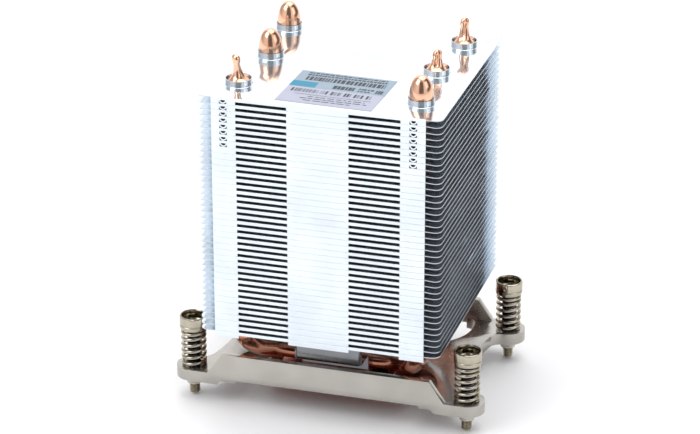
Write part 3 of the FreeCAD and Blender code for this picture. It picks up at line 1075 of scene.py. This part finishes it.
LABEL_TURN = math.radians(-2.0)
LABEL_SIZE = (32.0, 27.0)
INK_RISE = 0.012
INK_THICKNESS = 0.9  # as a share of the rise
INK_LEVELS = {"top": 1, "block": 2, "ink": 3}
DIVIDER_V = 13.0
BLOCK_AREA = (0.0, 8.6, 13.3, 17.8)
LABEL_SEED = 41
# rows of dashes: (left, right, low, high, shortest dash, longest dash, gap)
DASH_ROWS = (
    (3.0, 29.5, 25.0, 25.9, 0.4, 1.8, 0.25),
    (3.0, 30.0, 23.2, 24.3, 0.5, 1.4, 0.22),
    (3.4, 30.0, 19.2, 22.4, 0.4, 1.3, 0.3),
    (14.2, 21.5, 14.2, 17.0, 0.6, 1.3, 0.22),
    (22.6, 27.6, 15.9, 17.0, 0.6, 1.6, 0.25),
    (22.6, 27.0, 14.2, 15.1, 0.6, 1.6, 0.25),
    (28.4, 30.9, 14.2, 17.0, 0.5, 0.8, 0.15),
    (4.0, 29.5, 7.0, 7.25, 3.0, 8.0, 0.2),
    (9.0, 28.0, 5.3, 5.8, 0.9, 2.6, 0.5),
    (7.0, 29.0, 3.7, 4.2, 0.9, 2.6, 0.5),
    (8.5, 24.0, 2.1, 2.6, 0.9, 2.6, 0.5),
)
GAP_SHARES = (0.7, 1.6)
BAR_SPAN = (2.0, 28.5)
BAR_HEIGHTS = (8.8, 11.6)
BAR_WIDTHS = (0.22, 0.22, 0.45, 0.7)
BAR_GAPS = (0.3, 0.3, 0.55, 1.1)


def label_marks():
    """Generic printed fields: (left, right, low, high, ink) in millimetres from the label's corner."""
    rng = random.Random(LABEL_SEED)
    marks = [(0.0, LABEL_SIZE[0], DIVIDER_V, LABEL_SIZE[1], "top"), (*BLOCK_AREA, "block")]
    for left, right, low, high, least, most, gap in DASH_ROWS:
        at = left
        while at < right:
            end = min(right, at + rng.uniform(least, most))
            marks.append((at, end, low, high, "ink"))
            at = end + gap * rng.uniform(*GAP_SHARES)
    at = BAR_SPAN[0]
    while at < BAR_SPAN[1]:
        width = rng.choice(BAR_WIDTHS)
        marks.append((at, at + width, *BAR_HEIGHTS, "ink"))
        at += width + rng.choice(BAR_GAPS)
    return marks


def label_sheet():
    """The adhesive label on the top fin, with its printed fields laid on as films of ink."""
    c = colours()
    inks = {"low": c.label_low, "top": c.label_top, "block": c.label_block, "ink": c.ink}
    order = list(inks)
    materials = [label_ink("label_" + key, inks[key]) for key in order]
    low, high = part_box("label")
    middle = (low + high) / 2 / MM
    base, top = low.z / MM, high.z / MM
    turn = Vector((math.cos(LABEL_TURN), math.sin(LABEL_TURN), 0))
    bm = bmesh.new()

    def slab(left, right, front, rear, z0, z1, ink):
        """A thin film between two heights, in the label's own turned axes."""
        corners = []
        for u, v in ((left, front), (right, front), (right, rear), (left, rear)):
            du, dv = u - LABEL_SIZE[0] / 2, v - LABEL_SIZE[1] / 2
            corners.append(Vector((middle.x, middle.y, 0)) + turn * du + UP.cross(turn) * dv)
        lower = [bm.verts.new(p + UP * z0) for p in corners]
        upper = [bm.verts.new(p + UP * z1) for p in corners]
        faces = [bm.faces.new(lower[::-1]), bm.faces.new(upper)]
        faces += [bm.faces.new((lower[n - 1], lower[n], upper[n], upper[n - 1])) for n in range(4)]
        for face in faces:
            face.material_index = order.index(ink)

    slab(0, LABEL_SIZE[0], 0, LABEL_SIZE[1], base, top, "low")
    for left, right, front, rear, ink in label_marks():
        rise = INK_LEVELS[ink] * INK_RISE
        slab(left, right, front, rear, top + rise - INK_RISE * INK_THICKNESS, top + rise, ink)
    obj = make_object("label_printed", bm, materials)
    settle(obj)
    return hand_over(obj, ROOT, "paper_label", "label")


class HEATSINK_OT_label(bpy.types.Operator):
    """Build the label with generic printed fields"""

    bl_idname = "heatsink.label"
    bl_label = "Label"

    def execute(self, context):
        label_sheet()
        return {"FINISHED"}


# ---------------------------------------------------------------- stage

FLOOR_SIZE = 8.0
CAMERA_PLACE = (0.260558, -0.883884, 0.464516)
CAMERA_BEARING = math.radians(16.4903)  # how far round to the right of the front it stands
CAMERA_DIP = math.radians(23.7927)  # how far it looks down
CAMERA_SENSOR = 36
CAMERA_LENS = 156.18
CAMERA_CLIP = (0.05, 20)
# (name, place, the point it faces, sides, power) of each soft light
LIGHTS = (
    ("key", (-0.9, -0.9, 1.3), (0, 0, 0.06), (1.1, 1.1), 9),
    ("overhead", (0.1, 0.3, 1.6), (0, 0, 0), (1.6, 1.6), 15),
    ("side", (1.3, -0.2, 0.7), (0, 0, 0.06), (0.8, 0.8), 2),
)


def soft_box(name, place, target, size, power):
    """A large soft white light that faces a point."""
    data = bpy.data.lights.new(name, "AREA")
    data.shape = "RECTANGLE"
    data.size, data.size_y = size
    data.energy = power
    obj = bpy.data.objects.new(name, data)
    bpy.context.scene.collection.objects.link(obj)
    obj.location = place
    obj.rotation_euler = (Vector(target) - Vector(place)).to_track_quat("-Z", "Y").to_euler()
    return obj


# (bearing in degrees from +X, level of the light that comes from there), below the card overhead
STUDIO_BEARINGS = (
    (-180, 0.55),
    (-150, 0.75),
    (-125, 0.95),
    (-104, 0.85),
    (-95, 0.16),
    (-55, 0.16),
    (-46, 0.95),
    (-20, 0.85),
    (-8, 0.16),
    (42, 0.16),
    (60, 1.1),
    (80, 1.35),
    (135, 1.35),
    (160, 0.5),
    (180, 0.55),
)
STUDIO_BLUE = 1.02
STUDIO_ZENITH = 0.75
ZENITH_SPAN = (0.7, 0.92)  # the rise of a direction over which the cards give way to the card overhead


def studio_world():
    """White cards all round with dark gaps between them, which give round metal its bands."""
    world = bpy.data.worlds.new("studio")
    bpy.context.scene.world = world
    world.use_nodes = True
    tree = world.node_tree
    tree.nodes.clear()
    direction = add(tree, "ShaderNodeTexCoord").outputs["Generated"]
    split = add(tree, "ShaderNodeSeparateXYZ", {"Vector": direction})
    turn = add(tree, "ShaderNodeMath", {0: split.outputs[1], 1: split.outputs[0]}, operation="ARCTAN2")
    share = {"Value": turn.outputs[0], "From Min": -math.pi, "From Max": math.pi}
    placed = add(tree, "ShaderNodeMapRange", share).outputs[0]
    ramp = add(tree, "ShaderNodeValToRGB", {"Fac": placed})
    elements = ramp.color_ramp.elements
    while len(elements) < len(STUDIO_BEARINGS):
        elements.new(0.5)
    for element, (bearing, level) in zip(elements, STUDIO_BEARINGS):
        element.position = (bearing + 180) / 360
        element.color = (level, level, level * STUDIO_BLUE, 1)
    climb = {"Value": split.outputs[2], "From Min": ZENITH_SPAN[0], "From Max": ZENITH_SPAN[1]}
    overhead = add(tree, "ShaderNodeMapRange", climb).outputs[0]
    zenith = (STUDIO_ZENITH, STUDIO_ZENITH, STUDIO_ZENITH, 1)
    cards = {"Factor": overhead, "A": ramp.outputs["Color"], "B": zenith}
    sky = add(tree, "ShaderNodeMix", cards, data_type="RGBA").outputs["Result"]
    background = add(tree, "ShaderNodeBackground", {"Color": sky, "Strength": 1.0})
    add(tree, "ShaderNodeOutputWorld", {"Surface": background.outputs[0]})


class HEATSINK_OT_stage(bpy.types.Operator):
    """Set the pale floor, the soft studio light and the camera"""

    bl_idname = "heatsink.stage"
    bl_label = "Stage"

    def execute(self, context):
        bm = bmesh.new()
        bmesh.ops.create_grid(bm, x_segments=2, y_segments=2, size=FLOOR_SIZE / 2)
        floor = make_object("studio_floor", bm, studio_paper(), 1.0)
        studio_world()
        for light in LIGHTS:
            soft_box(*light)
        data = bpy.data.cameras.new("camera")
        data.sensor_width = CAMERA_SENSOR
        data.lens = CAMERA_LENS
        data.clip_start, data.clip_end = CAMERA_CLIP
        camera = bpy.data.objects.new("camera", data)
        context.scene.collection.objects.link(camera)
        camera.location = CAMERA_PLACE
        camera.rotation_euler = (math.pi / 2 - CAMERA_DIP, 0, CAMERA_BEARING)
        context.scene.camera = camera
        context.scene.view_settings.view_transform = "Standard"
        return {"FINISHED"}


# ---------------------------------------------------------------- add-on


class HEATSINK_PT_panel(bpy.types.Panel):
    """Lists the steps that build the heatsink"""

    bl_idname = "HEATSINK_PT_panel"
    bl_label = "Heatsink"
    bl_space_type = "VIEW_3D"
    bl_region_type = "UI"
    bl_category = "Heatsink"

    def draw(self, context):
        for step in STEPS:
            self.layout.operator(step.bl_idname)
        for group in (context.scene.heatsink_sizes, context.scene.heatsink_colours):
            for name in group.bl_rna.properties.keys():
                if name not in ("rna_type", "name"):
                    self.layout.prop(group, name)


STEPS = (
    HEATSINK_OT_fins,
    HEATSINK_OT_pipes,
    HEATSINK_OT_bracket,
    HEATSINK_OT_base,
    HEATSINK_OT_screws,
    HEATSINK_OT_springs,
    HEATSINK_OT_label,
    HEATSINK_OT_stage,
)
CLASSES = (HeatsinkSizes, HeatsinkColours, *STEPS, HEATSINK_PT_panel)


def register():
    """Registers the classes, and gives the scene its sizes and colours."""
    for item in CLASSES:
        bpy.utils.register_class(item)
    bpy.types.Scene.heatsink_sizes = bpy.props.PointerProperty(type=HeatsinkSizes)
    bpy.types.Scene.heatsink_colours = bpy.props.PointerProperty(type=HeatsinkColours)


def unregister():
    """Takes back all that register did, in reverse."""
    del bpy.types.Scene.heatsink_colours
    del bpy.types.Scene.heatsink_sizes
    for item in reversed(CLASSES):
        bpy.utils.unregister_class(item)


def main():
    register()
    for step in STEPS:
        group, name = step.bl_idname.split(".")
        getattr(getattr(bpy.ops, group), name)()


if __name__ == "__main__":
    main()
